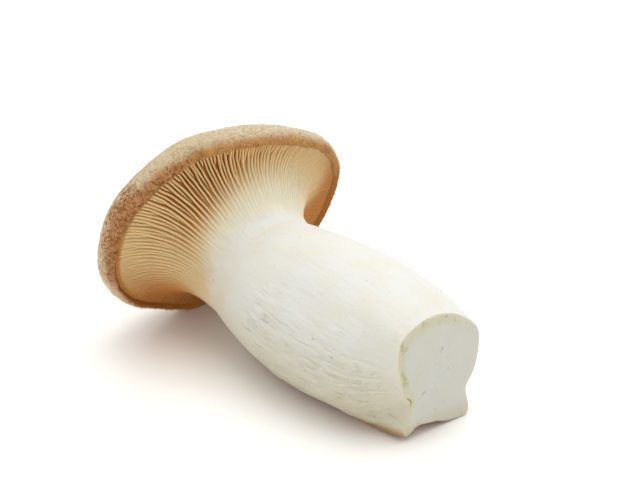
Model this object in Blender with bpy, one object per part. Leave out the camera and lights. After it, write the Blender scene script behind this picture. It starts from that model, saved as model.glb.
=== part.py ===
"""A king oyster mushroom, picked, trimmed with a knife and lying on its side.

It grew in one piece, so it is one solid. The shape is worked out standing up, as it grew: the knife cut
at height 0, the stem swelling to its belly and drawing in to the neck, the gills running out under the
cap, the rolled margin, and the domed crown on top. Every outline is a pair of radius and height about a
centreline that leans over at the neck. The mushroom is then laid down, the cap towards -X and the cut
towards +X, and pressed flat where it lies on the table at z = 0.
"""

import math
import random

import bmesh
import bpy
from mathutils import Matrix, Vector

NAME = "king_oyster_mushroom"

# The stem, as (height above the cut, radius). All sizes are in metres.
STEM_OUTLINE = [(0.001, 0.0155), (0.009, 0.0177), (0.018, 0.0192), (0.036, 0.0202), (0.050, 0.0193), (0.062, 0.0171)]
BASE_LIFT = 0.0010  # how far the stem's middle is off the centreline at the cut
BASE_TOP = 0.045  # the height where it is back on the centreline

# Where the stem isn't round: the way it faces, in degrees from straight up towards +Y once it lies on its
# side, how wide the swell is, how far it stands out, the height of its middle, and how far it reaches.
STEM_SWELLS = [
    (-26.0, 30.0, 0.0012, 0.0, 0.020),
    (-42.0, 12.0, 0.0009, 0.0, 0.010),
    (66.0, 17.0, 0.0010, 0.0, 0.016),
    (126.0, 12.0, -0.0013, 0.0, 0.008),
    (140.0, 15.0, 0.0026, 0.0, 0.012),
    (140.0, 8.5, 0.0038, 0.0, 0.008),
    (155.0, 10.0, 0.0018, 0.0, 0.010),
    (-91.0, 32.0, -0.0050, 0.0, 0.011),
    (-141.0, 32.0, -0.0063, 0.0, 0.007),
    (-152.0, 10.5, 0.0057, 0.0, 0.007),
    (-158.0, 18.0, 0.0018, 0.0, 0.014),
    (-125.0, 40.0, 0.0010, 0.042, 0.018),
    (180.0, 40.0, -0.0007, 0.030, 0.016),
]

# The gills' edges, as (radius, height), from the margin in and down to where they fade into the stem.
GILL_OUTLINE = [(0.0330, 0.0834), (0.0288, 0.0830), (0.0246, 0.0812), (0.0208, 0.0776), (0.0180, 0.0724), (0.0168, 0.0660)]
GILL_COUNT = 108
GILL_DEPTHS = [0.0016, 0.0030, 0.0034, 0.0028, 0.0014, 0.0003]  # how far they stand out of the flesh along the way
GILL_ROOT = 0.00046  # half of a gill's thickness where it meets the flesh
GILL_EDGE = 0.00034  # half of its thickness at its edge
GILL_REACHES = [1.0, 0.34, 0.62, 0.34]  # how far in each one of four neighbours runs, as a share of the outline
GILL_FADE = 0.12  # the share of the outline over which a short gill's end slopes away

# The margin and the crown, as (radius, height), from the gills out, round and up to the middle.
MARGIN_OUTLINE = [(0.0338, 0.0826), (0.0347, 0.0822), (0.0358, 0.0838), (0.0361, 0.0862)]
CROWN_OUTLINE = [(0.0354, 0.0886), (0.0328, 0.0916), (0.0275, 0.0943), (0.0195, 0.0966), (0.0100, 0.0980), (0.0, 0.0984)]

# The cap is an oval with a wavy rim. The directions are in degrees, as for the swells.
CAP_OVAL = (0.092, -74.0)  # the share by which it is long that way and short across
CAP_THREE = (0.017, 45.0)  # the same, in three places
CAP_WAVES = [(2, 0.0007, -41.0), (3, 0.0008, -34.0), (9, 0.0002, 10.0)]  # waves round the rim, height, a crest
THIN_MARGIN = (0.0012, 135.0, 75.0)  # how much thinner the rolled margin is, which way, and how wide that is

# The centreline is straight, then an arc, then straight again.
BEND_START = 0.054
BEND_END = 0.076
LEAN = math.radians(22.3)
LEAN_TOWARDS = math.radians(5.4)  # from straight up, once laid down, towards +Y

# The way the mushroom lies, and how far it is pressed flat.
LIE_ANGLE = math.radians(4.4)  # the stem's slope, from the cut up to the neck
PRESSED = 0.0012

COLUMNS = 72  # sides round the stem and the crown
STEM_ROWS = 12
GILL_ROWS = 8
CROWN_ROWS = 9
SEED = 5


def smooth_curve(points, share):
    """The point at a share of the way along a smooth curve through the points (Catmull-Rom)."""
    place = min(max(share, 0.0), 1.0) * (len(points) - 1)
    first = min(int(place), len(points) - 2)
    t = place - first
    around = [points[min(max(first + step, 0), len(points) - 1)] for step in (-1, 0, 1, 2)]
    weights = (
        -0.5 * t**3 + t**2 - 0.5 * t,
        1.5 * t**3 - 2.5 * t**2 + 1.0,
        -1.5 * t**3 + 2.0 * t**2 + 0.5 * t,
        0.5 * t**3 - 0.5 * t**2,
    )
    return tuple(sum(w * p[axis] for w, p in zip(weights, around)) for axis in (0, 1))


def eased(low, high, value):
    """0 below low, 1 above high, and a smooth step in between."""
    t = min(max((value - low) / (high - low), 0.0), 1.0)
    return t * t * (3.0 - 2.0 * t)


def spine(height):
    """The centreline's point at a height, and the turn that carries the upright frame there."""
    towards = Vector((math.cos(LEAN_TOWARDS), math.sin(LEAN_TOWARDS), 0.0))
    radius = (BEND_END - BEND_START) / LEAN
    angle = min(max(height - BEND_START, 0.0) / radius, LEAN)
    turn = Matrix.Rotation(angle, 3, Vector((0.0, 0.0, 1.0)).cross(towards))
    point = Vector((0.0, 0.0, min(height, BEND_START) + radius * math.sin(angle)))
    point += towards * radius * (1.0 - math.cos(angle))
    point += turn @ Vector((0.0, 0.0, max(height - BEND_END, 0.0)))
    return point, turn


def around_spine(angle, radius, height):
    """The point at this angle and radius about the centreline."""
    point, turn = spine(height)
    return point + turn @ Vector((radius * math.cos(angle), radius * math.sin(angle), 0.0))


def turned(angle, degrees):
    """How far an angle is from a direction in degrees, from -pi to pi."""
    return math.remainder(angle - math.radians(degrees), math.tau)


def stem_point(angle, height, radius):
    """The stem isn't quite round: it swells and sinks near the cut, and has low swells all along."""
    fade = 1.0 - eased(0.0, BASE_TOP, height)
    for degrees, width, out, middle_height, reach in STEM_SWELLS:
        off = turned(angle, degrees) / math.radians(width)
        away = (height - middle_height) / reach
        radius += out * math.exp(-off * off - away * away)
    radius += 0.00035 * math.sin(2.0 * angle + 70.0 * height) * (1.0 - fade)
    radius += 0.00025 * math.sin(5.0 * angle - 90.0 * height) * (1.0 - fade)
    point, turn = spine(height)
    across = Vector((radius * math.cos(angle) + BASE_LIFT * fade, radius * math.sin(angle), 0.0))
    return point + turn @ across


def cap_point(angle, radius, height):
    """A point of the cap or the gills, with the oval and the waves that grow towards the rim."""
    grown = eased(0.014, 0.034, radius)
    stretch = CAP_OVAL[0] * math.cos(2.0 * turned(angle, CAP_OVAL[1]))
    stretch += CAP_THREE[0] * math.cos(3.0 * turned(angle, CAP_THREE[1]))
    lift = sum(high * math.cos(count * turned(angle, crest)) for count, high, crest in CAP_WAVES)
    thin, way, width = THIN_MARGIN
    thin *= math.exp(-(turned(angle, way) / math.radians(width)) ** 2)
    thin *= eased(0.029, 0.0335, radius) * (1.0 - eased(0.0335, 0.0352, radius))
    thin *= 1.0 - eased(0.0835, 0.0865, height)
    return around_spine(angle, radius * (1.0 + stretch * grown) + thin, height + lift * grown)


def rolled_grid(bm, columns, rows, place):
    """A sheet rolled into a tube: each of its points goes where place(column, row) says."""
    made = bmesh.ops.create_grid(bm, x_segments=columns, y_segments=rows, size=1.0)
    for vert in made["verts"]:
        column = round((vert.co.x + 1.0) / 2.0 * columns) % columns
        row = round((vert.co.y + 1.0) / 2.0 * rows)
        vert.co = place(column, row)
    bmesh.ops.remove_doubles(bm, verts=made["verts"], dist=1e-7)


def add_stem(bm):
    def place(column, row):
        angle = math.tau * column / COLUMNS
        height, radius = smooth_curve(STEM_OUTLINE, (row / STEM_ROWS) ** 1.3)
        return stem_point(angle, height, radius)

    rolled_grid(bm, COLUMNS, STEM_ROWS, place)


def add_crown(bm):
    outline = MARGIN_OUTLINE + CROWN_OUTLINE
    rows = len(MARGIN_OUTLINE) + CROWN_ROWS

    def place(column, row):
        angle = math.tau * column / COLUMNS
        radius, height = smooth_curve(outline, row / rows)
        return cap_point(angle, radius, height)

    rolled_grid(bm, COLUMNS, rows, place)


def gill_edge(share):
    """The point on the gills' edges, the flesh between them there, both as (radius, height)."""
    step = 0.01
    radius, height = smooth_curve(GILL_OUTLINE, share)
    ahead = smooth_curve(GILL_OUTLINE, min(share + step, 1.0))
    behind = smooth_curve(GILL_OUTLINE, max(share - step, 0.0))
    along = Vector((ahead[0] - behind[0], ahead[1] - behind[1])).normalized()
    depth = smooth_curve([(d, 0.0) for d in GILL_DEPTHS], share)[0]
    return (radius, height), (radius + along.y * depth, height - along.x * depth)


def add_gills(bm):
    """Gills in fours: one reaches the stem, one runs half way, and two are short."""
    rng = random.Random(SEED)
    shifts = [rng.uniform(-0.12, 0.12) for _ in range(GILL_COUNT)]

    def place(column, row):
        gill, corner = divmod(column, 4)
        share = row / GILL_ROWS
        edge, flesh = gill_edge(share)
        reach = GILL_REACHES[gill % 4]
        stands = 1.0 if reach == 1.0 else 1.0 - eased(reach - GILL_FADE, reach + GILL_FADE, share)
        out = corner in (1, 2)
        radius, height = flesh
        if out:
            radius += (edge[0] - radius) * stands
            height += (edge[1] - height) * stands
        half = (GILL_EDGE if out else GILL_ROOT) * (0.25 + 0.75 * stands)
        side = -1.0 if corner < 2 else 1.0
        middle = math.tau * (gill + shifts[gill]) / GILL_COUNT
        return cap_point(middle + side * half / radius, radius, height)

    rolled_grid(bm, 4 * GILL_COUNT, GILL_ROWS, place)


def open_rims(bm):
    """The open edges, as one list for each rim."""
    left = {edge for edge in bm.edges if edge.is_boundary}
    rims = []
    while left:
        rim, todo = [], [left.pop()]
        while todo:
            edge = todo.pop()
            rim.append(edge)
            beside = {other for vert in edge.verts for other in vert.link_edges} & left
            left -= beside
            todo += beside
        rims.append(rim)
    return rims


def middle(rim):
    points = [vert.co for edge in rim for vert in edge.verts]
    return sum(points, Vector()) / len(points)


def join_rims(bm):
    """Joins the crown to the gills and the gills to the stem, and closes the cut."""
    cut, stem_top, gills_in, gills_out, margin = sorted(open_rims(bm), key=lambda rim: middle(rim).z)
    bmesh.ops.bridge_loops(bm, edges=stem_top + gills_in)
    bmesh.ops.bridge_loops(bm, edges=gills_out + margin)
    bmesh.ops.contextual_create(bm, geom=cut)


def lay_down(bm):
    """Turns the mushroom on its side, presses it flat where it touches the table, and centres it there."""
    bmesh.ops.rotate(bm, verts=bm.verts, matrix=Matrix.Rotation(LIE_ANGLE - math.pi / 2.0, 3, "Y"))
    bmesh.ops.translate(bm, verts=bm.verts, vec=(0.0, 0.0, -PRESSED - min(v.co.z for v in bm.verts)))
    for vert in bm.verts:
        vert.co.z = max(vert.co.z, 0.0)
    low = [min(vert.co[axis] for vert in bm.verts) for axis in (0, 1)]
    high = [max(vert.co[axis] for vert in bm.verts) for axis in (0, 1)]
    bmesh.ops.translate(bm, verts=bm.verts, vec=[-(a + b) / 2.0 for a, b in zip(low, high)] + [0.0])


def flesh_material():
    material = bpy.data.materials.new("mushroom_flesh")
    material.use_nodes = True
    shader = material.node_tree.nodes["Principled BSDF"]
    shader.inputs["Base Color"].default_value = (0.80, 0.72, 0.58, 1.0)
    shader.inputs["Roughness"].default_value = 0.6
    return material


def build():
    for obj in list(bpy.data.objects):
        bpy.data.objects.remove(obj)
    bm = bmesh.new()
    add_stem(bm)
    add_gills(bm)
    add_crown(bm)
    join_rims(bm)
    bmesh.ops.recalc_face_normals(bm, faces=bm.faces)
    lay_down(bm)
    mesh = bpy.data.meshes.new(NAME)
    bm.to_mesh(mesh)
    bm.free()
    mesh.shade_smooth()
    mesh.materials.append(flesh_material())
    bpy.context.scene.collection.objects.link(bpy.data.objects.new(NAME, mesh))


build()
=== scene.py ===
"""The looks of a king oyster mushroom lying on its side: stem, cap, gills and felt, on a pale floor."""

import math
import random

import bmesh
import bpy
from mathutils import Matrix, Vector, noise


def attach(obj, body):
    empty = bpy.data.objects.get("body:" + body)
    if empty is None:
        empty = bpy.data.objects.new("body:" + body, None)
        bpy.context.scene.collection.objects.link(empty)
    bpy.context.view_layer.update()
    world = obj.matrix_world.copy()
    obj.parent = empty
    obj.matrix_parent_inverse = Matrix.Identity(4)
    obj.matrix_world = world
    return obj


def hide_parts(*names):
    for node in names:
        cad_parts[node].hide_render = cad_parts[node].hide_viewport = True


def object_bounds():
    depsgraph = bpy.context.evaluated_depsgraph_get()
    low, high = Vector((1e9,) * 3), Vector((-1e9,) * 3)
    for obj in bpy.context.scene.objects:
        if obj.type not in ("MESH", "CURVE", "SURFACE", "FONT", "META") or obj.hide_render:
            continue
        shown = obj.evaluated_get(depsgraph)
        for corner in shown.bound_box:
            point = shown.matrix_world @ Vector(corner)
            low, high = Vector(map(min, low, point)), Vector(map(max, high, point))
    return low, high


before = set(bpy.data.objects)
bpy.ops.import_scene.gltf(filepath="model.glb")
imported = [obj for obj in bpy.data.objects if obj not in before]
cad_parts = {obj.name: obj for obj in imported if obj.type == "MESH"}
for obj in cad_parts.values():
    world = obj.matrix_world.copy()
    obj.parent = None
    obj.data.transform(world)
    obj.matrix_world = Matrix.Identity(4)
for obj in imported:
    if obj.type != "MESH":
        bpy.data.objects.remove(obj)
cad_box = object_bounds()

# The shape standing up, as it grew: the cut at height 0, the crown on top. Lengths are in metres. A direction
# round the mushroom is in degrees: as it lies, 0 is its top, 90 its far side, -90 its near side and 180 its
# underside. The outlines are the part's own.

# (height, radius), from the cut to the neck
STEM_OUTLINE = [
    (0.001, 0.0155),
    (0.009, 0.0177),
    (0.018, 0.0192),
    (0.036, 0.0202),
    (0.050, 0.0193),
    (0.062, 0.0171),
]
CUT_HEIGHT, CUT_RADIUS = STEM_OUTLINE[0]
BASE_LIFT = 0.0010  # how far the cut sits above the stem's middle line
BASE_TOP = 0.045  # where that lift ends, and the long folds are full
# (direction, width in degrees, how far out, height of its middle, reach up and down)
STEM_SWELLS = [
    (-26.0, 30.0, 0.0012, 0.0, 0.020),
    (-42.0, 12.0, 0.0009, 0.0, 0.010),
    (66.0, 17.0, 0.0010, 0.0, 0.016),
    (126.0, 12.0, -0.0013, 0.0, 0.008),
    (140.0, 15.0, 0.0026, 0.0, 0.012),
    (140.0, 8.5, 0.0038, 0.0, 0.008),
    (155.0, 10.0, 0.0018, 0.0, 0.010),
    (-91.0, 32.0, -0.0050, 0.0, 0.011),
    (-141.0, 32.0, -0.0063, 0.0, 0.007),
    (-152.0, 10.5, 0.0057, 0.0, 0.007),
    (-158.0, 18.0, 0.0018, 0.0, 0.014),
    (-125.0, 40.0, 0.0010, 0.042, 0.018),
    (180.0, 40.0, -0.0007, 0.030, 0.016),
]
# (how far out, how many round the stem, how much they turn on the way up)
LONG_FOLDS = [(0.00035, 2.0, 70.0), (0.00025, 5.0, -90.0)]

# (radius, height) of the gills' edge, from the margin to the neck, and how deep the part's own gaps are there
GILL_OUTLINE = [
    (0.0330, 0.0834),
    (0.0288, 0.0830),
    (0.0246, 0.0812),
    (0.0208, 0.0776),
    (0.0180, 0.0724),
    (0.0168, 0.0660),
]
GILL_DEPTHS = [(0.0016,), (0.0030,), (0.0034,), (0.0028,), (0.0014,), (0.0003,)]
GAP_LEAST = 0.08  # how deep the gaps are beside those: at least
GAP_MORE = 0.50  # and how much deeper where they are darkest

# (radius, height), round the rolled lip from the gills outwards, then over the crown to its middle
LIP_OUTLINE = [
    (0.0328, 0.0838),
    (0.0334, 0.0829),
    (0.0342, 0.0824),
    (0.0351, 0.0829),
    (0.0358, 0.0842),
    (0.0361, 0.0862),
]
CROWN_OUTLINE = [
    (0.0354, 0.0886),
    (0.0328, 0.0916),
    (0.0275, 0.0943),
    (0.0195, 0.0966),
    (0.0100, 0.0980),
    (0.0, 0.0984),
]
CAP_OUTLINE = LIP_OUTLINE + CROWN_OUTLINE
# (how many crests round the cap, size, direction of a crest): shares of the radius, and lifts
CAP_STRETCHES = [(2, 0.092, -74.0), (3, 0.017, 45.0)]
CAP_WAVES = [(2, 0.0007, -41.0), (3, 0.0008, -34.0), (9, 0.0002, 10.0)]
CAP_WAVES_START = 0.014  # the radius where both begin
CAP_WAVES_FULL = 0.034  # and where they are full
# The margin's inner edge sits further out on one side, where its roll is thinner.
THIN_MARGIN = (0.0012, 135.0, 75.0)  # how far, direction, width in degrees
THIN_RADII = (0.029, 0.0335, 0.0352)  # starts, full, ends
THIN_HEIGHTS = (0.0835, 0.0865)  # full, ends

# (radius, height) of the hidden top that closes the stem, and of the hidden underside that closes the cap
STEM_ROOF_OUTLINE = [(0.0334, 0.0842), (0.0300, 0.0880), (0.0180, 0.0900), (0.0, 0.0905)]
CAP_UNDERSIDE_OUTLINE = [(0.0322, 0.0850), (0.0280, 0.0875), (0.0160, 0.0890), (0.0, 0.0895)]

# The neck's bend, and how the mushroom lies
BEND_START = 0.054
BEND_END = 0.076
LEAN = math.radians(22.3)
LEAN_TOWARDS = math.radians(5.4)
BEND_RADIUS = (BEND_END - BEND_START) / LEAN
LIE_ANGLE = math.radians(4.4)
LAY = Matrix.Rotation(LIE_ANGLE - math.pi / 2.0, 3, "Y")
PRESSED = 0.0012  # how much of the underside is flattened by the table

# How finely each surface is made: points round the mushroom, and rows the other way
STEM_COLUMNS = 320
CUT_ROWS = 40
SIDE_ROWS = 170
UNDER_ROWS = 44
CAP_COLUMNS = 400
SKIN_ROWS = 130
HIDDEN_ROWS = 8
BLADE_ROWS = 22

SEED = 11


def smooth_curve(points, share):
    """The point at a share of the way along a smooth curve through the points (Catmull-Rom)."""
    place = min(max(share, 0.0), 1.0) * (len(points) - 1)
    first = min(int(place), len(points) - 2)
    t = place - first
    around = [points[min(max(first + step, 0), len(points) - 1)] for step in (-1, 0, 1, 2)]
    weights = (
        -0.5 * t**3 + t**2 - 0.5 * t,
        1.5 * t**3 - 2.5 * t**2 + 1.0,
        -1.5 * t**3 + 2.0 * t**2 + 0.5 * t,
        0.5 * t**3 - 0.5 * t**2,
    )
    return tuple(sum(w * p[axis] for w, p in zip(weights, around)) for axis in range(len(points[0])))


def eased(low, high, value):
    """0 below low, 1 above high, and a smooth step in between."""
    t = min(max((value - low) / (high - low), 0.0), 1.0)
    return t * t * (3.0 - 2.0 * t)


def turned(angle, degrees):
    """How far an angle is from a direction in degrees, from -pi to pi."""
    return math.remainder(angle - math.radians(degrees), math.tau)


def towards(angle, degrees, width):
    """1 in one direction round the mushroom, and less to its sides."""
    off = turned(angle, degrees) / math.radians(width)
    return math.exp(-off * off)


def ripple(waves, angle):
    """The sum of waves round the mushroom: (how many crests, size, direction of a crest)."""
    return sum(size * math.cos(count * turned(angle, crest)) for count, size, crest in waves)


def spine(height):
    """The centreline's point at a height, and the turn that carries the upright frame there."""
    way = Vector((math.cos(LEAN_TOWARDS), math.sin(LEAN_TOWARDS), 0.0))
    angle = min(max(height - BEND_START, 0.0) / BEND_RADIUS, LEAN)
    turn = Matrix.Rotation(angle, 3, Vector((0.0, 0.0, 1.0)).cross(way))
    point = Vector((0.0, 0.0, min(height, BEND_START) + BEND_RADIUS * math.sin(angle)))
    point += way * BEND_RADIUS * (1.0 - math.cos(angle))
    point += turn @ Vector((0.0, 0.0, max(height - BEND_END, 0.0)))
    return point, turn


def stem_grown(angle, height, radius):
    """A point of the stem as it grew, before the centreline bends: swells, sinks and long low folds."""
    fade = 1.0 - eased(0.0, BASE_TOP, height)
    for degrees, width, out, middle_height, reach in STEM_SWELLS:
        away = (height - middle_height) / reach
        radius += out * towards(angle, degrees, width) * math.exp(-away * away)
    for out, count, twist in LONG_FOLDS:
        radius += out * math.sin(count * angle + twist * height) * (1.0 - fade)
    around = Vector((math.cos(angle), math.sin(angle), 0.0))
    return around * radius + Vector((BASE_LIFT * fade, 0.0, height))


def cap_grown(angle, radius, height):
    """A point of the cap or the gills as it grew, with the oval and the waves that grow towards the rim."""
    thin, degrees, width = THIN_MARGIN
    thin_start, thin_full, thin_end = THIN_RADII
    thin *= towards(angle, degrees, width)
    thin *= eased(thin_start, thin_full, radius) * (1.0 - eased(thin_full, thin_end, radius))
    thin *= 1.0 - eased(*THIN_HEIGHTS, height)
    full = eased(CAP_WAVES_START, CAP_WAVES_FULL, radius)
    radius = radius * (1.0 + ripple(CAP_STRETCHES, angle) * full) + thin
    height += ripple(CAP_WAVES, angle) * full
    return Vector((radius * math.cos(angle), radius * math.sin(angle), height))


def bent(grown):
    """Carries a point of the straight shape onto the leaning centreline."""
    point, turn = spine(grown.z)
    return point + turn @ Vector((grown.x, grown.y, 0.0))


def settled():
    """The move that puts the laid shape in the part's own box, its lowest points pressed into the table."""
    columns, stem_rows, cap_rows = 72, 12, 26  # the part's own
    stem_spacing = 1.3  # its rows are closer near the cut
    points = []
    for column in range(columns):
        angle = math.tau * column / columns
        for row in range(stem_rows + 1):
            points.append(stem_grown(angle, *smooth_curve(STEM_OUTLINE, (row / stem_rows) ** stem_spacing)))
        for row in range(cap_rows + 1):
            points.append(cap_grown(angle, *smooth_curve(CAP_OUTLINE, row / cap_rows)))
    points = [LAY @ bent(point) for point in points]
    low = Vector(min(p[axis] for p in points) for axis in range(3))
    high = Vector(max(p[axis] for p in points) for axis in range(3))
    middle = (Vector(cad_box[0]) + Vector(cad_box[1])) / 2.0
    shift = middle - (low + high) / 2.0
    shift.z = -PRESSED - low.z
    return shift


SHIFT = settled()


def laid(grown):
    """Where a point of the shape as it grew lies on the table, pressed flat where it touches."""
    point = LAY @ bent(grown) + SHIFT
    point.z = max(point.z, 0.0)
    return point


# Meshes. Each point keeps the place that it grew at, and marks for its finish, from 0 to 1.

# tan: how tan the flesh is. The orange mark: how orange it is, mostly painted shade and glow in the hollows
# under the cap. The shade mark: painted shade, in the gaps between the gills and where the stem lies on the
# table.
# On the cut, cut is 1, the orange mark is where it cracks, and inwards is the share of the way from its rim
# to its middle.
STEM_MARKS = ("tan", "rust_and_shade", "painted_shade", "cut", "inwards")
# inwards: the share of the way from the lip's inner edge to the crown's middle. narrow: how much narrower the
# lip's brown band is. brown: how brown the skin is. The orange mark: painted orange shade on the lip, in the
# hollows.
CAP_MARKS = ("inwards", "narrow", "brown", "rust_and_shade")
# level: 0 at a blade's root, 1 at its edge. The others are as on the stem.
GILL_MARKS = ("tan", "rust_and_shade", "painted_shade", "level")


def new_shape(marks):
    """An empty mesh that can keep these marks."""
    bm = bmesh.new()
    bm.verts.layers.float_vector.new("grown")
    for name in marks:
        bm.verts.layers.float.new(name)
    return bm


def mark_point(bm, vert, grown, marks):
    """Keeps on a point where it grew, and its marks. A mark that isn't named stays 0."""
    vert[bm.verts.layers.float_vector["grown"]] = grown
    for name, value in marks.items():
        vert[bm.verts.layers.float[name]] = value


def rolled_grid(bm, columns, rows, place):
    """A sheet rolled into a tube. place(column, row) gives each point as it grew, and its marks."""
    made = bmesh.ops.create_grid(bm, x_segments=columns, y_segments=rows, size=1.0)
    for vert in made["verts"]:
        column = round((vert.co.x + 1.0) / 2.0 * columns) % columns
        row = round((vert.co.y + 1.0) / 2.0 * rows)
        vert.co, marks = place(column, row)
        mark_point(bm, vert, vert.co, marks)
    bmesh.ops.remove_doubles(bm, verts=made["verts"], dist=1e-7)


def surface_round(bm, columns, rows, place):
    """A surface that runs right round. place(angle, share) gives each point as it grew, and its marks."""
    rolled_grid(bm, columns, rows, lambda column, row: place(math.tau * column / columns, row / rows))


def open_rims(bm):
    """The open edges, one list for each rim, the lowest rim first."""
    left = {edge for edge in bm.edges if edge.is_boundary}
    rims = []
    while left:
        rim = []
        todo = [left.pop()]
        while todo:
            edge = todo.pop()
            rim.append(edge)
            beside = {other for vert in edge.verts for other in vert.link_edges} & left
            left -= beside
            todo += beside
        rims.append(rim)
    return sorted(rims, key=lambda rim: sum(edge.verts[0].co.z for edge in rim) / len(rim))


def join_rims(bm):
    """Closes a shape: joins its open rims in pairs, the two lowest first."""
    rims = open_rims(bm)
    for lower, upper in zip(rims[0::2], rims[1::2]):
        bmesh.ops.bridge_loops(bm, edges=lower + upper)


def piece_from(name, bm, finish):
    """Lays a shape down and makes it a piece of the mushroom."""
    for vert in bm.verts:
        vert.co = laid(vert.co)
    bmesh.ops.recalc_face_normals(bm, faces=bm.faces)
    mesh = bpy.data.meshes.new(name)
    bm.to_mesh(mesh)
    bm.free()
    mesh.shade_smooth()
    mesh.materials.append(finish)
    piece = bpy.data.objects.new(name, mesh)
    bpy.context.scene.collection.objects.link(piece)
    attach(piece, "root")
    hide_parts("king_oyster_mushroom")


# Colours round the mushroom, as patches: (strength, direction, width in degrees). A patch that fades also has
# the shares of the way in where it starts to fade and where it is gone.

TAN_START = 0.10
TAN_STARTS_LATER = [(0.34, -70.0, 60.0), (-0.20, 45.0, 35.0), (0.48, -106.0, 32.0)]
TAN_END = 0.90
TAN_ENDS_LATER = [(0.24, -92.0, 50.0), (0.08, 48.0, 24.0)]
# Orange on the gills: painted shade and glow in the hollows at the far side, painted shade under the lip at
# the top and along the near side's margin, and one orange patch on the upper near side.
GILL_RUST_AND_SHADE = [
    (1.1, 108.0, 26.0, 0.30, 0.85),
    (0.75, 76.0, 22.0, 0.02, 0.24),
    (0.28, 8.0, 30.0, 0.06, 0.35),
    (0.34, -37.0, 20.0, 0.16, 0.48),
    (0.85, -92.0, 38.0, 0.035, 0.085),
]
# How deep the gaps between the gills are, and how much painted shade they get: most at the upper near side,
# more near the rim at the top.
GAP_DEPTH_AND_SHADE = [(0.93, -34.0, 36.0)]
GAP_DEPTH_AND_SHADE_RIM = [(0.22, 14.0, 22.0, 0.15, 0.40)]
CUT_CRACKS = [(1.0, -127.0, 14.0, 0.01, 0.07), (1.0, -161.0, 5.0, 0.01, 0.05)]
# Painted contact shade on the stem's underside, where it lies on the table.
UNDERSIDE_PAINTED_SHADE = [(0.9, 180.0, 35.0)]
FELT_BROWN = [(0.95, -73.0, 26.0, 0.36, 0.70), (0.50, -48.0, 10.0, 0.30, 0.46)]
FELT_BROWN_LIP = [(0.55, -76.0, 28.0)]
FELT_BARE = [(1.0, -125.0, 30.0)]
LIP_NARROW = [(0.20, -117.0, 27.0)]
# Painted orange shade on the lip, in the hollows at the far side and at the bottom.
LIP_SHADE_ORANGE = [(1.0, 96.0, 24.0), (1.1, -163.0, 30.0)]


def patches(table, angle):
    """The sum of the patches at an angle."""
    return sum(strength * towards(angle, degrees, width) for strength, degrees, width in table)


def fading_patches(table, angle, share):
    """The sum of the patches at an angle and a share of the way in."""
    whole = 0.0
    for strength, degrees, width, start, end in table:
        whole += strength * towards(angle, degrees, width) * (1.0 - eased(start, end, share))
    return whole


def gill_tan(angle, share):
    """How tan the gills are: they fade to the neck's white, soonest at the top, latest on the near side."""
    start = TAN_START + patches(TAN_STARTS_LATER, angle)
    end = TAN_END + patches(TAN_ENDS_LATER, angle)
    return 1.0 - eased(start, end, share)


def gill_rust_and_shade(angle, share):
    """How orange the gills are: painted shade and glow in the hollows at the far side and at the bottom near
    the margin, painted shade under the lip, and one orange patch.
    """
    # Painted orange shade in the hollow at the bottom, and painted shade on the near side.
    low_start = 0.40 + 0.55 * towards(angle, -134.0, 18.0)
    low = 1.15 * towards(angle, -163.0, 40.0) * (1.0 - eased(low_start, low_start + 0.4, share))
    near = 0.34 * towards(angle, -122.0, 30.0) * (1.0 - 0.8 * share)
    return min(1.0, fading_patches(GILL_RUST_AND_SHADE, angle, share) + low + near)


def gap_depth_and_shade(angle, share):
    """How deep the gaps are, and how much painted shade they get: most at the upper near side, fading where
    the tan does.
    """
    least = 0.07
    whole = least + patches(GAP_DEPTH_AND_SHADE, angle) + fading_patches(GAP_DEPTH_AND_SHADE_RIM, angle, share)
    return min(1.0, whole * gill_tan(angle, share) ** 1.8)


def gill_marks(angle, share):
    """The marks of the gills and of the flesh between them."""
    return {"tan": gill_tan(angle, share), "rust_and_shade": gill_rust_and_shade(angle, share), "painted_shade": gap_depth_and_shade(angle, share)}


def gill_profile(angle, share):
    """At a share of the way in from the margin, the gills' edge and the flesh between: (radius, height)."""
    step = 0.01
    radius, height = smooth_curve(GILL_OUTLINE, share)
    ahead = smooth_curve(GILL_OUTLINE, min(share + step, 1.0))
    behind = smooth_curve(GILL_OUTLINE, max(share - step, 0.0))
    along = Vector((ahead[0] - behind[0], ahead[1] - behind[1])).normalized()
    depth = smooth_curve(GILL_DEPTHS, share)[0] * (GAP_LEAST + GAP_MORE * gap_depth_and_shade(angle, share))
    return Vector((radius, height)), Vector((radius + along.y * depth, height - along.x * depth))


# The stem

DENT_DEPTH = 0.00026
FOLD_DEPTH = 0.00012
FLAKE_DEPTH = 0.00034
GRAIN_RADIUS = 0.0185  # the radius where the grain of the skin is read
CUT_ROUNDING = 0.0003  # how much the cut's rim is rounded
CUT_ROUGH = 0.00016
CUT_GRAIN = 0.00005
CUT_SMOOTH_RIM = 0.125  # the share of the way in where the cut is fully rough


def skin_noise(angle, height, around, along, start=0.0):
    """Noise on the stem's skin, from -1 to 1: how fine it is round the stem, and along it."""
    x = GRAIN_RADIUS * math.cos(angle) * around
    y = GRAIN_RADIUS * math.sin(angle) * around
    return noise.noise(Vector((x, y, height * along + start)))


def stem_relief(angle, height):
    """The stem's skin, as a small move outwards: dents, long folds, and torn flakes on its near side."""
    dents = skin_noise(angle, height, 105.0, 60.0, 7.0)
    folds = skin_noise(angle, height, 380.0, 55.0)
    flakes = eased(0.02, 0.30, skin_noise(angle, height, 800.0, 160.0, 31.0))
    torn = towards(angle, -106.0, 38.0) * eased(0.002, 0.008, height) * (1.0 - eased(0.038, 0.054, height))
    torn += towards(angle, -122.0, 30.0) * (1.0 - eased(0.006, 0.020, height))
    return DENT_DEPTH * dents + FOLD_DEPTH * folds + FLAKE_DEPTH * flakes * (0.06 + torn)


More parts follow.
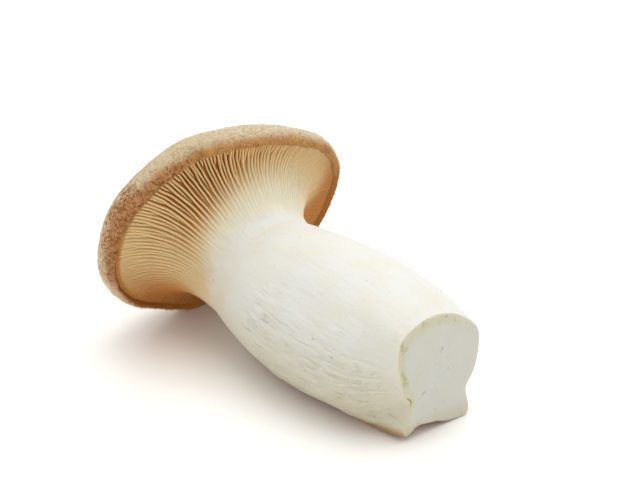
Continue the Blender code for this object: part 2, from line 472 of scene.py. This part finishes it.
def cut_point(angle, share):
    """A point of the knife cut, from its rim (0) to its middle (1), and its marks."""
    edge = stem_grown(angle, CUT_HEIGHT, CUT_RADIUS - CUT_ROUNDING)
    middle = Vector((BASE_LIFT, 0.0, CUT_HEIGHT))
    grown = middle + (edge - middle) * (1.0 - share)
    rough = noise.noise(grown * 230.0) * CUT_ROUGH + noise.noise(grown * 800.0) * CUT_GRAIN
    grown.z += rough * min(share / CUT_SMOOTH_RIM, 1.0)
    return grown, {"cut": 1.0, "inwards": share, "rust_and_shade": min(fading_patches(CUT_CRACKS, angle, share), 1.0)}


def side_point(angle, share):
    """A point of the stem's side, from the cut (0) to the neck (1), and its marks."""
    height, radius = smooth_curve(STEM_OUTLINE, share)
    relief = stem_relief(angle, height) * eased(CUT_HEIGHT, CUT_HEIGHT + 0.002, height)
    grown = stem_grown(angle, height, radius + relief)
    grown.z += CUT_ROUNDING * (1.0 - eased(CUT_HEIGHT, CUT_HEIGHT + 0.001, height))
    tan = gill_tan(angle, 1.0) * eased(0.056, 0.062, height)
    # Painted contact shade on the underside, where the stem lies on the table.
    return grown, {"tan": tan, "painted_shade": patches(UNDERSIDE_PAINTED_SHADE, angle) * eased(0.004, 0.014, height)}


def under_point(angle, share):
    """A point of the flesh between the gills, from the neck (0) to the margin (1), and its marks."""
    inwards = 1.0 - share
    radius, height = gill_profile(angle, inwards)[1]
    relief = stem_relief(angle, height) * eased(0.5, 1.0, inwards)
    return cap_grown(angle, radius + relief, height), gill_marks(angle, inwards)


def roof_point(angle, share):
    """A point of the stem's hidden top, from the margin (0) to its middle (1), and its marks."""
    return cap_grown(angle, *smooth_curve(STEM_ROOF_OUTLINE, share)), {"tan": 1.0}


def build_stem(finish):
    """The stem with its cut, the flesh under the gills, and a hidden top inside the cap."""
    bm = new_shape(STEM_MARKS)
    surface_round(bm, STEM_COLUMNS, CUT_ROWS, cut_point)
    surface_round(bm, STEM_COLUMNS, SIDE_ROWS, side_point)
    surface_round(bm, STEM_COLUMNS, UNDER_ROWS, under_point)
    surface_round(bm, STEM_COLUMNS, HIDDEN_ROWS, roof_point)
    join_rims(bm)
    piece_from("mushroom_stem", bm, finish)


# The cap

# How far the lip waves out and in at its inner edge, and up and down
LIP_WAVE_OUT = 0.0005
LIP_WAVE_DOWN = 0.0003


def cap_brown(angle, share):
    """How brown the skin is: a band along the lip, and a broad felted patch on one side."""
    ragged = share + 0.03 * math.sin(7.0 * angle) + 0.02 * math.sin(13.0 * angle + 1.0)
    felt = fading_patches(FELT_BROWN, angle, ragged)
    felt += patches(FELT_BROWN_LIP, angle) * math.exp(-((share - 0.27) / 0.06) ** 2)
    felt *= eased(0.10, 0.22, share)
    band = 0.25 * (1.0 - eased(0.25, 0.50, ragged)) * (1.0 - patches(FELT_BARE, angle))
    return min(1.0, felt + band)


def skin_marks(angle, share):
    """The marks of the cap's skin: on the lip, painted orange shade in the same hollows as the gills."""
    return {
        "inwards": share,
        "narrow": patches(LIP_NARROW, angle),
        "brown": cap_brown(angle, share),
        "rust_and_shade": min(1.0, patches(LIP_SHADE_ORANGE, angle)),
    }


def skin_point(angle, share):
    """A point of the skin, from the lip's inner edge (0) to the crown's middle (1)."""
    radius, height = smooth_curve(CAP_OUTLINE, share)
    around = Vector((math.cos(angle), math.sin(angle), 0.0))
    point = around * radius + Vector((0.0, 0.0, height))
    dents = noise.noise(point * 75.0) * 0.00035 + noise.noise(point * 260.0) * 0.00014
    dents += noise.noise(point * 700.0) * 0.00007
    wave = noise.noise(around * 7.0 + Vector((0.0, 0.0, 2.0)))
    wave += 0.5 * noise.noise(around * 19.0 + Vector((0.0, 0.0, 5.0)))
    radius -= LIP_WAVE_OUT * wave * (1.0 - eased(0.0, 0.2, share))
    height += dents * eased(0.12, 0.4, share)
    height -= LIP_WAVE_DOWN * wave * eased(0.0, 0.06, share) * (1.0 - eased(0.2, 0.45, share))
    return cap_grown(angle, radius, height)


def crown_point(angle, share):
    """A point of the skin, and its marks."""
    return skin_point(angle, share), skin_marks(angle, share)


def underside_point(angle, share):
    """A point of the cap's hidden underside, from the lip (0) to its middle (1), and its marks."""
    return cap_grown(angle, *smooth_curve(CAP_UNDERSIDE_OUTLINE, share)), {"brown": 1.0}


def build_cap(finish):
    """The crown and the rolled lip, closed by a hidden underside."""
    bm = new_shape(CAP_MARKS)
    surface_round(bm, CAP_COLUMNS, SKIN_ROWS, crown_point)
    surface_round(bm, CAP_COLUMNS, HIDDEN_ROWS, underside_point)
    join_rims(bm)
    piece_from("mushroom_cap", bm, finish)


# The felt

FELT_PATCHES = 90
PATCH_FIBRES = 60
FELT_START = 0.16  # the share of the way over the skin where the fibres begin
FELT_REACH = 0.46  # and how far they reach from there
FIBRE_LENGTHS = (0.0004, 0.0011)
FIBRE_RADII = [0.00004, 0.00005, 0.00008]
FIBRE_TIP = 0.00001


def add_fibre(bm, rng):
    """One short fibre of the felt, leaning along the skin."""
    angle = rng.uniform(0.0, math.tau)
    share = FELT_START + FELT_REACH * rng.random() ** 1.2
    step = 0.01
    root = skin_point(angle, share)
    beside = skin_point(angle + step, share) - root
    ahead = skin_point(angle, share + step) - root
    normal = beside.cross(ahead).normalized()
    way = ahead.normalized() * rng.uniform(-1.0, 0.4) + beside.normalized() * rng.uniform(-1.0, 1.0)
    way = (way.normalized() + normal * rng.uniform(0.2, 0.9)).normalized()
    length = rng.uniform(*FIBRE_LENGTHS)
    place = Matrix.Translation(root + way * length * 0.4) @ way.to_track_quat("Z", "Y").to_matrix().to_4x4()
    ends = {"radius1": rng.choice(FIBRE_RADII), "radius2": FIBRE_TIP, "depth": length}
    made = bmesh.ops.create_cone(bm, cap_ends=True, segments=3, matrix=place, **ends)
    marks = skin_marks(angle, share)
    for vert in made["verts"]:
        mark_point(bm, vert, root, marks)


def build_felt(finish):
    """Short fibres of the felt, thickest round the margin, made a patch at a time."""
    rng = random.Random(SEED)
    whole = new_shape(CAP_MARKS)
    for _ in range(FELT_PATCHES):
        patch = new_shape(CAP_MARKS)
        for _ in range(PATCH_FIBRES):
            add_fibre(patch, rng)
        mesh = bpy.data.meshes.new("patch")
        patch.to_mesh(mesh)
        patch.free()
        whole.from_mesh(mesh)
        bpy.data.meshes.remove(mesh)
    piece_from("mushroom_felt", whole, finish)


# The gills

GILL_COUNT = 208
GILL_SPREAD = math.tau / GILL_COUNT
BLADE_REACHES = [(0.90, 1.0), (0.36, 0.66), (0.90, 1.0), (0.10, 0.34)]  # long and short blades in turn
LONG_HEIGHTS = (0.90, 1.0)
SHORT_HEIGHTS = (0.78, 0.95)
# (side, level) of the corners across a blade, from one foot over the edge to the other foot
BLADE_CORNERS = [(-1.0, 0.0), (-0.8, 0.84), (0.0, 1.0), (0.8, 0.84), (1.0, 0.0)]
BLADE_HALF = 0.00031  # half a blade's thickness
BLADE_ROOT = 0.0004  # how deep a blade's foot sits in the flesh
# How a blade wanders: (how many swings, how far, as a share of the gap between blades)
SLOW_SWING = ((1.5, 4.5), (0.03, 0.10))
QUICK_SWING = ((7.0, 11.0), (0.01, 0.04))
CLOSING_IN = 0.33  # how far a long blade moves over where the short one beside it ends


def new_swing(rng, counts, sizes):
    """One way that a blade wanders: how many swings, where they start and how far they go."""
    return rng.uniform(*counts), rng.uniform(0.0, math.tau), rng.uniform(*sizes)


def add_blade(bm, rng, gill, reaches):
    """A thin blade from the margin inwards. Where a short one ends, the long ones beside it close in."""
    long = gill % 2 == 0
    reach, before_end, after_end = reaches[gill], reaches[gill - 1], reaches[(gill + 1) % GILL_COUNT]
    full = rng.uniform(*(LONG_HEIGHTS if long else SHORT_HEIGHTS))
    shift = rng.uniform(-0.14, 0.14) * GILL_SPREAD
    swings = [new_swing(rng, *swing) for swing in (SLOW_SWING, SLOW_SWING, QUICK_SWING)]
    thick = rng.uniform(0.85, 1.2)
    shares = [reach * row / BLADE_ROWS for row in range(BLADE_ROWS + 1)]
    profiles = [gill_profile(GILL_SPREAD * gill, share) for share in shares]
    marks = [gill_marks(GILL_SPREAD * gill, share) for share in shares]

    def blade(column, row):
        along = row / BLADE_ROWS
        share = shares[row]
        side, level = BLADE_CORNERS[column]
        edge, flesh = profiles[row]
        fade = 1.0 - (0.75 * eased(0.74, 1.0, along) if long else eased(0.50, 1.0, along))
        height = full * fade * (0.55 + 0.45 * eased(0.0, 0.08, along))
        rise = edge - flesh
        out = flesh + rise * height * level - rise.normalized() * BLADE_ROOT * (1.0 - level)
        half = BLADE_HALF * thick * (1.0 - 0.25 * share) * (1.0 - 0.6 * eased(0.85, 1.0, along))
        angle = GILL_SPREAD * gill + shift
        for count, start, size in swings:
            angle += size * GILL_SPREAD * math.sin(count * math.pi * share + start)
        if long:
            angle += CLOSING_IN * GILL_SPREAD * eased(after_end - 0.12, after_end + 0.02, share)
            angle -= CLOSING_IN * GILL_SPREAD * eased(before_end - 0.12, before_end + 0.02, share)
        return cap_grown(angle + side * half / out.x, out.x, out.y), {**marks[row], "level": level}

    rolled_grid(bm, len(BLADE_CORNERS), BLADE_ROWS, blade)


def build_gills(finish):
    """Thin blades: half of them reach the stem."""
    rng = random.Random(SEED)
    bm = new_shape(GILL_MARKS)
    reaches = [rng.uniform(*BLADE_REACHES[gill % len(BLADE_REACHES)]) for gill in range(GILL_COUNT)]
    for gill in range(GILL_COUNT):
        add_blade(bm, rng, gill, reaches)
    ends = [edge for edge in bm.edges if edge.is_boundary]
    bmesh.ops.holes_fill(bm, edges=ends, sides=len(BLADE_CORNERS))
    piece_from("mushroom_gills", bm, finish)


# Finishes


class Value:
    """A number, colour or vector in a finish's nodes. Sums and products of it add Math nodes."""

    def __init__(self, finish, socket):
        self.finish = finish
        self.socket = socket

    def _math(self, operation, *values):
        return self.finish.node("ShaderNodeMath", {"operation": operation}, dict(enumerate(values)))

    def __add__(self, other):
        return self._math("ADD", self, other)

    def __radd__(self, other):
        return self._math("ADD", other, self)

    def __sub__(self, other):
        return self._math("SUBTRACT", self, other)

    def __rsub__(self, other):
        return self._math("SUBTRACT", other, self)

    def __mul__(self, other):
        return self._math("MULTIPLY", self, other)

    def __rmul__(self, other):
        return self._math("MULTIPLY", other, self)

    def step(self, low, high):
        """0 at low, 1 at high, smooth between; low may be above high."""
        ends = {1: low, 2: high, 3: 0.0, 4: 1.0} if low < high else {1: high, 2: low, 3: 1.0, 4: 0.0}
        return self.finish.node("ShaderNodeMapRange", {"interpolation_type": "SMOOTHSTEP"}, {0: self, **ends})

    def swing(self, size):
        """A noise's value as a swing to both sides of 0."""
        return (self - 0.5) * size


class Finish:
    """A material and its nodes."""

    def __init__(self, name, **fixed):
        self.material = bpy.data.materials.new(name)
        self.material.use_nodes = True
        self.tree = self.material.node_tree
        self.shader = self.tree.nodes["Principled BSDF"]
        for socket, value in fixed.items():
            self.shader.inputs[socket.replace("_", " ")].default_value = value

    def node(self, kind, settings, inputs, output=0):
        """A node of this kind, its settings made first, then its sockets filled or linked."""
        made = self.tree.nodes.new(kind)
        for key, value in settings.items():
            setattr(made, key, value)
        for key, value in inputs.items():
            if isinstance(value, Value):
                self.tree.links.new(value.socket, made.inputs[key])
            else:
                made.inputs[key].default_value = value
        return Value(self, made.outputs[output])

    def mark(self, name):
        """A number kept on the mesh."""
        return self.node("ShaderNodeAttribute", {"attribute_name": name}, {}, "Fac")

    def grown(self, x=1.0, y=1.0, z=1.0):
        """The point as it grew, standing up and straight, in metres, stretched by these factors."""
        place = self.node("ShaderNodeAttribute", {"attribute_name": "grown"}, {}, "Vector")
        return self.node("ShaderNodeVectorMath", {"operation": "MULTIPLY"}, {0: place, 1: (x, y, z)})

    def axes(self, where):
        """The three numbers of a vector. As it grew, x is up when it lies, y is far and z is height."""
        split = self.node("ShaderNodeSeparateXYZ", {}, {0: where}).socket.node
        return [Value(self, output) for output in split.outputs]

    def above_table(self):
        """The height above the table, as the mushroom lies."""
        return self.axes(self.node("ShaderNodeTexCoord", {}, {}, "Object"))[2]

    def noise(self, where, scale, detail=2.0, roughness=0.5, distortion=0.0):
        """Noise from 0 to 1, its swells 1 / scale metres across."""
        grain = {"Scale": scale, "Detail": detail, "Roughness": roughness, "Distortion": distortion}
        return self.node("ShaderNodeTexNoise", {}, {"Vector": where, **grain})

    def blend(self, amount, first, second):
        """A colour between two, by an amount."""
        return self.node("ShaderNodeMix", {"data_type": "RGBA"}, {0: amount, 6: first, 7: second}, 2)

    def bump(self, height, distance):
        """The surface's normal, tilted by a height map of this depth."""
        return self.node("ShaderNodeBump", {}, {"Height": height, "Distance": distance, "Strength": 1.0})

    def give(self, **values):
        """Feeds the shader's sockets that change over the surface."""
        for socket, value in values.items():
            self.tree.links.new(value.socket, self.shader.inputs[socket.replace("_", " ")])
        return self.material


# Colours of the stem and its cut
WHITE_FLESH = (0.665, 0.675, 0.65, 1.0)
SHADED_FLESH = (0.66, 0.65, 0.58, 1.0)
TORN_FLESH = (0.60, 0.52, 0.36, 1.0)
# Painted shade low on the stem near the table; on the cut, a random mottle.
SHADE_AND_MOTTLE_FLESH = (0.57, 0.54, 0.42, 1.0)
# Painted contact shade where the stem lies on the table.
CONTACT_SHADE_BROWN = (0.36, 0.18, 0.07, 1.0)
NECK_CREAM = (0.76, 0.68, 0.50, 1.0)
CUT_GREY = (0.545, 0.55, 0.505, 1.0)
# Painted warm shade on the cut near the table.
CUT_LOW_SHADE = (0.52, 0.42, 0.28, 1.0)
RING_OLIVE = (0.53, 0.50, 0.33, 1.0)
CRACK_OLIVE = (0.30, 0.26, 0.13, 1.0)

# Colours of the gills
BLADE_TAN = (0.72, 0.525, 0.265, 1.0)
BLADE_CREAM = (0.78, 0.71, 0.54, 1.0)
# Painted shade in the gaps between the gills and at the blades' roots.
GAP_SHADE_OCHRE = (0.60, 0.24, 0.04, 1.0)
GAP_TAN = (0.66, 0.49, 0.27, 1.0)
# Painted orange shade and glow in the hollows under the cap, and one orange patch on the gills.
RUST_AND_SHADE_ORANGE = (0.52, 0.205, 0.04, 1.0)

# Colours of the cap
CAP_BEIGE = (0.70, 0.60, 0.42, 1.0)
CAP_SHADED = (0.60, 0.46, 0.27, 1.0)
# Painted bounce light on the cap's lower near side, which faces the table.
CAP_BOUNCE_LIGHT_PINK = (0.84, 0.64, 0.47, 1.0)
CROWN_TAN = (0.48, 0.36, 0.21, 1.0)
CAP_BROWN = (0.27, 0.095, 0.02, 1.0)
FELT_TAN = (0.52, 0.27, 0.12, 1.0)
LIP_BROWN = (0.56, 0.27, 0.08, 1.0)
LIP_DARK = (0.40, 0.175, 0.05, 1.0)
# Painted shade in the crease at the lip's inner edge, and the felt's dark grit.
CREASE_SHADE_AND_GRIT_BROWN = (0.28, 0.09, 0.025, 1.0)


def streaked_tan(look):
    """How tan the gills and the flesh between them are, fading in long streaks."""
    streaks = look.noise(look.grown(z=0.25), 800.0, 2.0, 0.6)
    return (look.mark("tan") + streaks.swing(0.6)).step(0.02, 0.98)


def gap_shade_amount(look):
    """How much painted ochre shade the gaps get: where they are darkest."""
    return look.mark("painted_shade").step(0.15, 0.80)


def stem_skin(look, low, mottle):
    """White skin with fibres and slits, painted shade low down and along the underside where it lies on the
    table, and the tan flesh between the gills: its colour and height map.
    """
    grown = look.grown()
    up, far, height = look.axes(grown)
    near = (far * -0.9 - up * 0.45).step(0.008, 0.018) * height.step(0.054, 0.042)
    fibres = look.noise(look.grown(z=0.08), 1100.0, 3.0, 0.6, 0.4)
    tears = look.noise(look.grown(z=0.18), 580.0, 2.0, 0.5, 0.9)
    slits = tears.step(0.60, 0.67) * look.noise(grown, 170.0, 1.0).step(0.45, 0.62) * (near * 0.88 + 0.12)
    specks = look.noise(grown, 1100.0, 0.0).step(0.835, 0.86)
    colour = look.blend(mottle.step(0.35, 0.75), WHITE_FLESH, SHADED_FLESH)
    # Painted shade: darker and yellower towards the table.
    colour = look.blend(low.step(0.030, 0.006) * 0.95, colour, SHADE_AND_MOTTLE_FLESH)
    colour = look.blend(slits * 0.60, colour, TORN_FLESH)
    colour = look.blend(specks * 0.5, colour, CRACK_OLIVE)
    # Painted contact shade: a brown strip where the stem meets the table, and on its underside.
    colour = look.blend(low.step(0.0044, 0.0016) * 0.95, colour, CONTACT_SHADE_BROWN)
    colour = look.blend(look.mark("painted_shade") * height.step(0.063, 0.056), colour, CONTACT_SHADE_BROWN)
    colour = look.blend(height.step(0.0650, 0.0745) * 0.85, colour, NECK_CREAM)
    # Between the gills: tan flesh, with painted ochre shade in the gaps.
    colour = look.blend(streaked_tan(look), colour, look.blend(gap_shade_amount(look), GAP_TAN, GAP_SHADE_OCHRE))
    # Painted orange shade and glow in the hollows under the cap.
    colour = look.blend(look.mark("rust_and_shade"), colour, RUST_AND_SHADE_ORANGE)
    torn = tears.step(0.40, 0.66) * (near * 0.75 + 0.12)
    return colour, fibres * 0.28 + torn - slits * 1.7 + mottle * 0.3


def cut_face(look, low, mottle):
    """The grey cut with an olive ring inside its rim, stains and cracks, and painted warm shade near the
    table: its colour and height map.
    """
    grown = look.grown()
    up, far, _ = look.axes(grown)
    grain = look.noise(grown, 260.0, 4.0, 0.6)
    stain = look.noise(grown, 300.0, 3.0, 0.6).step(0.35, 0.65)
    cracks = look.noise(grown, 520.0, 2.0, 0.5, 2.0).step(0.70, 0.76)
    ring = (look.mark("inwards") + grain.swing(0.24)).step(0.24, 0.10)
    ring = ring * (far * -1.0 + up * 0.6).step(-0.010, 0.003)
    spots = (grain * 0.5 + stain * 0.5).step(0.58, 0.75)
    colour = look.blend(mottle.step(0.35, 0.7) * 0.25, CUT_GREY, SHADE_AND_MOTTLE_FLESH)
    colour = look.blend(ring * (stain * 0.55 + 0.45), colour, RING_OLIVE)
    # Painted shade: warmer and darker near the table.
    colour = look.blend(low.step(0.006, 0.001) * 0.4, colour, CUT_LOW_SHADE)
    colour = look.blend(cracks * 0.35, colour, CRACK_OLIVE)
    colour = look.blend(ring * spots * 0.5, colour, CRACK_OLIVE)
    colour = look.blend((look.mark("rust_and_shade") + grain.swing(0.8)).step(0.35, 0.75), colour, CRACK_OLIVE)
    return colour, look.noise(grown, 900.0, 3.0) * 0.3 - cracks * 1.5


def flesh_finish():
    """The stem's firm, slightly see-through flesh."""
    look = Finish(
        "white_flesh",
        Roughness=0.6,
        IOR=1.35,
        Subsurface_Weight=0.6,
        Subsurface_Radius=(1.0, 0.65, 0.35),
        Subsurface_Scale=0.0025,
    )
    cut = look.mark("cut")
    low = look.above_table()
    mottle = look.noise(look.grown(), 110.0, 3.0)
    skin, skin_height = stem_skin(look, low, mottle)
    face, face_height = cut_face(look, low, mottle)
    height_map = skin_height * (1.0 - cut) + face_height * cut
    return look.give(Base_Color=look.blend(cut, skin, face), Normal=look.bump(height_map, 0.00035))


def cap_finish(name, brownness):
    """Dry felted skin: pale beige on the crown, with brown patches, and browner at the lip; with painted
    bounce light on its lower near side, painted shade in the crease at the lip's inner edge and painted
    orange shade in the hollows.
    """
    look = Finish(
        name,
        Roughness=0.9,
        IOR=1.35,
        Specular_IOR_Level=0.2,
        Subsurface_Weight=0.3,
        Subsurface_Radius=(1.0, 0.45, 0.2),
        Subsurface_Scale=0.0012,
    )
    inwards = look.mark("inwards")
    brown = look.mark("brown")
    rust_and_shade = look.mark("rust_and_shade")
    grown = look.grown()
    up, far, _ = look.axes(grown)
    near = (far * -0.92 - up * 0.38).step(0.012, 0.032)
    cloud = look.noise(grown, 170.0, 3.0, 0.6)
    tuft = look.noise(grown, 1000.0, 3.0, 0.65, 0.6)
    speck = look.noise(grown, 2300.0, 2.0, 0.7)

    beige = look.blend(tuft.step(0.35, 0.65) * 0.45, CAP_BEIGE, CAP_SHADED)
    beige = look.blend((inwards + cloud.swing(0.5)).step(0.60, 0.95) * 0.5, beige, CROWN_TAN)
    # Painted bounce light: paler and pinker on the lower near side, which faces the table.
    beige = look.blend((far * -0.85 - up * 0.53).step(0.016, 0.034) * 0.85, beige, CAP_BOUNCE_LIGHT_PINK)
    beige = look.blend((up * 0.64 - far * 0.77).step(0.016, 0.034) * 0.28, beige, CROWN_TAN)

    ragged = inwards + look.mark("narrow") + cloud.swing(0.24) + tuft.swing(0.30) + speck.swing(0.16)
    shade = (look.noise(grown, 260.0, 3.0, 0.6, 1.0) + speck.swing(0.6)).step(0.42, 0.64)
    colour = look.blend(ragged.step(0.46, 0.27) * 0.95, beige, look.blend(shade, LIP_BROWN, LIP_DARK))

    patchy = brown * 0.95 + cloud.swing(0.9) + tuft.swing(1.9) + speck.swing(1.6)
    felt = look.blend((tuft * 0.6 + speck * 0.4).step(0.58, 0.44), CAP_BROWN, FELT_TAN)
    colour = look.blend(patchy.step(0.15, 1.0) * brownness, colour, felt)
    # Dark grit specks in the felted patches.
    grit = (tuft * 0.5 + speck * 0.5).step(0.56, 0.66)
    colour = look.blend(grit * (brown * 0.7 + 0.05) * brownness, colour, CREASE_SHADE_AND_GRIT_BROWN)

    inner_lip = (inwards + cloud.swing(0.10)).step(0.20, 0.10) * (0.3 - near * 0.3)
    colour = look.blend(inner_lip, colour, BLADE_TAN)
    # Painted orange shade on the lip, in the hollows.
    colour = look.blend(rust_and_shade * inwards.step(0.48, 0.30) * 0.9, colour, RUST_AND_SHADE_ORANGE)
    # Painted shade in the crease where the lip meets the gills, strongest on the near side.
    crease_shade = inwards + cloud.swing(0.06)
    colour = look.blend(crease_shade.step(0.17, 0.08) * near * 0.75, colour, CREASE_SHADE_AND_GRIT_BROWN)
    colour = look.blend(crease_shade.step(0.08, 0.02) * (0.55 - rust_and_shade * 0.45), colour, CREASE_SHADE_AND_GRIT_BROWN)
    return look.give(Base_Color=colour, Normal=look.bump(tuft + speck * 0.9 + cloud * 0.5, 0.0006))


def gill_finish():
    """Blades tan at the margin and cream at the neck, with painted ochre shade where they root and painted
    orange shade and glow in the hollows.
    """
    look = Finish(
        "gill_cream",
        Roughness=0.65,
        IOR=1.35,
        Subsurface_Weight=0.3,
        Subsurface_Radius=(1.0, 0.55, 0.25),
        Subsurface_Scale=0.0008,
    )
    grain = look.noise(look.grown(), 600.0, 3.0)
    colour = look.blend(streaked_tan(look), BLADE_CREAM, BLADE_TAN)
    # Painted shade: ochre at the blades' roots, where the gaps are darkest.
    colour = look.blend(look.mark("level").step(1.0, 0.3) * gap_shade_amount(look) * 0.9, colour, GAP_SHADE_OCHRE)
    # Painted orange shade and glow in the hollows, and one orange patch.
    colour = look.blend((look.mark("rust_and_shade") + grain.swing(0.2)).step(0.0, 1.0) * 0.95, colour, RUST_AND_SHADE_ORANGE)
    return look.give(Base_Color=colour, Normal=look.bump(grain, 0.0001))


# Floor, light and camera

FLOOR_WHITE = (0.94, 0.94, 0.935, 1.0)
FLOOR_ROUGHNESS = 0.35
FLOOR_HALF_WIDTH = 4.0
SKY_WHITE = (1.0, 0.985, 0.955, 1.0)
LAMP_PLACE = (165.0, 80.0, 1.5, (0.0, 0.0, 0.03))  # azimuth, elevation, distance, target
LAMP_WIDTH = 1.3
LAMP_WATTS = 11.0
CAMERA_PLACE = (49.22, 23.35, 0.425, (-0.00586, 0.01273, 0.02955))
CAMERA_LENS = 90.0
CAMERA_NEAREST = 0.01


def build_floor():
    """A wide pale floor under the mushroom."""
    finish = Finish("pale_floor", Base_Color=FLOOR_WHITE, Roughness=FLOOR_ROUGHNESS)
    bm = bmesh.new()
    bmesh.ops.create_grid(bm, x_segments=1, y_segments=1, size=FLOOR_HALF_WIDTH)
    mesh = bpy.data.meshes.new("floor")
    bm.to_mesh(mesh)
    bm.free()
    mesh.materials.append(finish.material)
    floor = bpy.data.objects.new("floor", mesh)
    bpy.context.scene.collection.objects.link(floor)


def aim(thing, azimuth, elevation, distance, target):
    """Sets a camera or a light at a distance from a target, and turns it to face that."""
    turn = math.radians(azimuth)
    rise = math.radians(elevation)
    back = Vector((math.sin(turn) * math.cos(rise), -math.cos(turn) * math.cos(rise), math.sin(rise)))
    thing.location = Vector(target) + back * distance
    thing.rotation_euler = back.to_track_quat("Z", "Y").to_euler()


def hang_lamp():
    """A soft square lamp above the mushroom."""
    light = bpy.data.lights.new("overhead", "AREA")
    light.size = LAMP_WIDTH
    light.energy = LAMP_WATTS
    lamp = bpy.data.objects.new("overhead", light)
    bpy.context.scene.collection.objects.link(lamp)
    aim(lamp, *LAMP_PLACE)


def light_sky():
    """A pale sky that lights everything evenly."""
    world = bpy.data.worlds.new("soft_sky")
    bpy.context.scene.world = world
    world.use_nodes = True
    world.node_tree.nodes["Background"].inputs["Color"].default_value = SKY_WHITE
    world.node_tree.nodes["Background"].inputs["Strength"].default_value = 1.0


def set_camera():
    """The camera, and colours shown as they are."""
    camera = bpy.data.objects.new("camera", bpy.data.cameras.new("camera"))
    camera.data.lens = CAMERA_LENS
    camera.data.clip_start = CAMERA_NEAREST
    bpy.context.scene.collection.objects.link(camera)
    aim(camera, *CAMERA_PLACE)
    bpy.context.scene.camera = camera
    bpy.context.scene.view_settings.view_transform = "Standard"


build_floor()
hang_lamp()
light_sky()
set_camera()
build_stem(flesh_finish())
build_cap(cap_finish("cap_skin", 1.0))
build_felt(cap_finish("cap_felt", 0.85))
build_gills(gill_finish())
